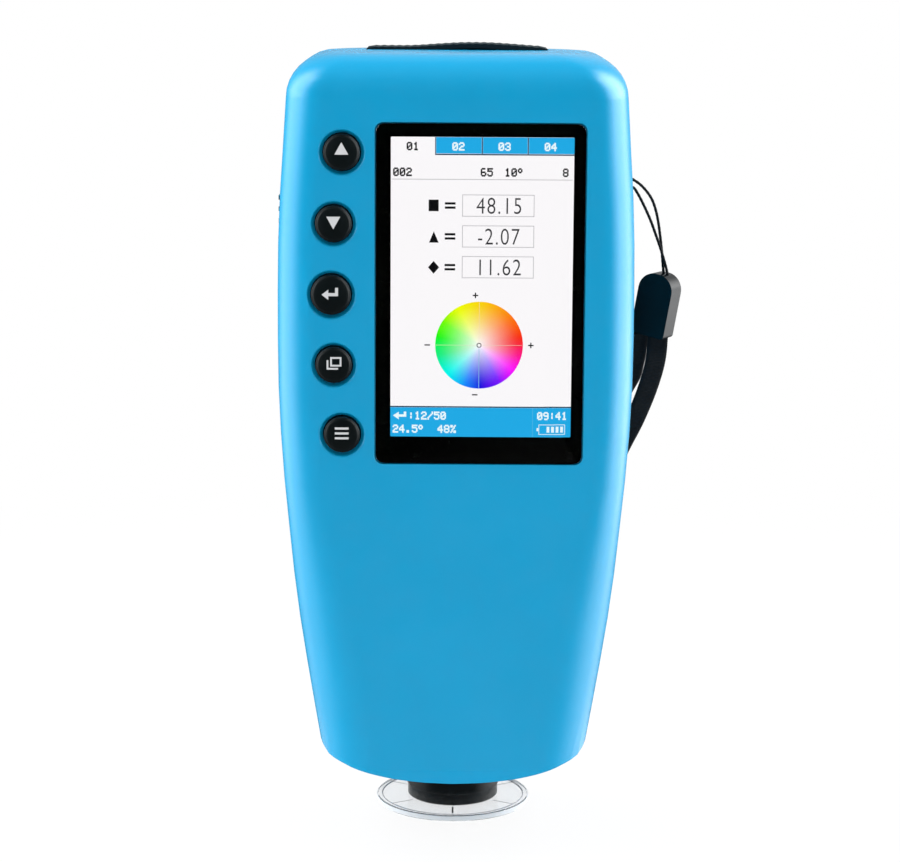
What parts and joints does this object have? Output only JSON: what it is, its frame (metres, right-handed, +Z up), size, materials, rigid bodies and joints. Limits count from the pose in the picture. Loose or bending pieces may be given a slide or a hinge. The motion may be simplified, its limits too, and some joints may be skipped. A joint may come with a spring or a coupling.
{
  "type": "portable colorimeter",
  "caption": "Hand-held colorimeter that stands on a clear locating disc: lit display, domed front keys, measuring nozzle at the foot, sliding battery cover and wrist strap",
  "frame": {"origin": "middle of the footprint without the strap, on the surface that the locating disc stands on", "axes": "+Z up along the housing, -Y is the front with the display, +X is the right side with the strap"},
  "size_m": [0.1074, 0.0989, 0.2049],
  "materials": {
    "blue_housing": "moulded ABS with a fine satin grain",
    "black_plastic": "moulded, fine matt grain",
    "black_gloss": "polished",
    "window_acrylic": "printed black behind clear acrylic",
    "display_glass": "lit display",
    "clear_acrylic": "clear, polished, edge lit",
    "white_coating": "matt diffusing white",
    "steel": "plain",
    "board_green": "solder mask",
    "grey_rubber": "matt silicone",
    "battery_sleeve": "shrink sleeve",
    "black_webbing": "woven nylon"
  },
  "bodies": {
    "housing": {"front_shell": "blue_housing", "rear_shell": "blue_housing", "test_switch": "black_plastic", "sensor_tube": "black_plastic", "aperture_ring": "black_plastic", "nozzle": "black_gloss", "strap_block": "black_gloss", "display_window": "window_acrylic", "lcd_panel": "display_glass", "sphere_lower": "white_coating", "sphere_upper": "white_coating", "power_switch_body": "steel", "battery_contact_1": "steel", "battery_contact_2": "steel", "usb_socket": "steel", "optics_bracket": "steel", "strap_pin": "steel", "case_screw_1": "steel", "case_screw_2": "steel", "case_screw_3": "steel", "case_screw_4": "steel", "board_screw_1": "steel", "board_screw_2": "steel", "board_screw_3": "steel", "board_screw_4": "steel", "bracket_screw_1": "steel", "bracket_screw_2": "steel", "sphere_screw_1": "steel", "sphere_screw_2": "steel", "sphere_screw_3": "steel", "sphere_screw_4": "steel", "main_board": "board_green", "switch_board": "board_green", "test_board": "board_green", "usb_board": "board_green", "light_board": "board_green", "sensor_board": "board_green", "keypad_mat": "grey_rubber", "battery_pack": "battery_sleeve", "strap_cord": "black_webbing", "strap_webbing": "black_webbing"},
    "button_up_body": {"button_up": "black_gloss"},
    "button_down_body": {"button_down": "black_gloss"},
    "button_enter_body": {"button_enter": "black_gloss"},
    "button_windows_body": {"button_windows": "black_gloss"},
    "button_menu_body": {"button_menu": "black_gloss"},
    "power_switch_knob_body": {"power_switch_knob": "black_plastic"},
    "test_button_body": {"test_button": "black_plastic"},
    "battery_cover_body": {"battery_cover": "black_plastic"},
    "locating_disc_body": {"locating_disc": "clear_acrylic"}
  },
  "joints": [
    {"name": "button_up_press", "type": "slide", "parent": "housing", "child": "button_up_body", "axis": [0, 1, 0], "range_m": [0, 0.0008], "stiffness_N_per_m": 600},
    {"name": "button_down_press", "type": "slide", "parent": "housing", "child": "button_down_body", "axis": [0, 1, 0], "range_m": [0, 0.0008], "stiffness_N_per_m": 600},
    {"name": "button_enter_press", "type": "slide", "parent": "housing", "child": "button_enter_body", "axis": [0, 1, 0], "range_m": [0, 0.0008], "stiffness_N_per_m": 600},
    {"name": "button_windows_press", "type": "slide", "parent": "housing", "child": "button_windows_body", "axis": [0, 1, 0], "range_m": [0, 0.0008], "stiffness_N_per_m": 600},
    {"name": "button_menu_press", "type": "slide", "parent": "housing", "child": "button_menu_body", "axis": [0, 1, 0], "range_m": [0, 0.0008], "stiffness_N_per_m": 600},
    {"name": "power_switch_slide", "type": "slide", "parent": "housing", "child": "power_switch_knob_body", "axis": [0, 0, 1], "range_m": [0, 0.0035]},
    {"name": "test_button_press", "type": "slide", "parent": "housing", "child": "test_button_body", "axis": [0, -1, 0], "range_m": [0, 0.001], "stiffness_N_per_m": 800},
    {"name": "battery_cover_slide", "type": "slide", "parent": "housing", "child": "battery_cover_body", "axis": [0, 0, 1], "range_m": [0, 0.012]},
    {"name": "locating_disc_pull", "type": "slide", "parent": "housing", "child": "locating_disc_body", "axis": [0, 0, -1], "range_m": [0, 0.006]}
  ]
}
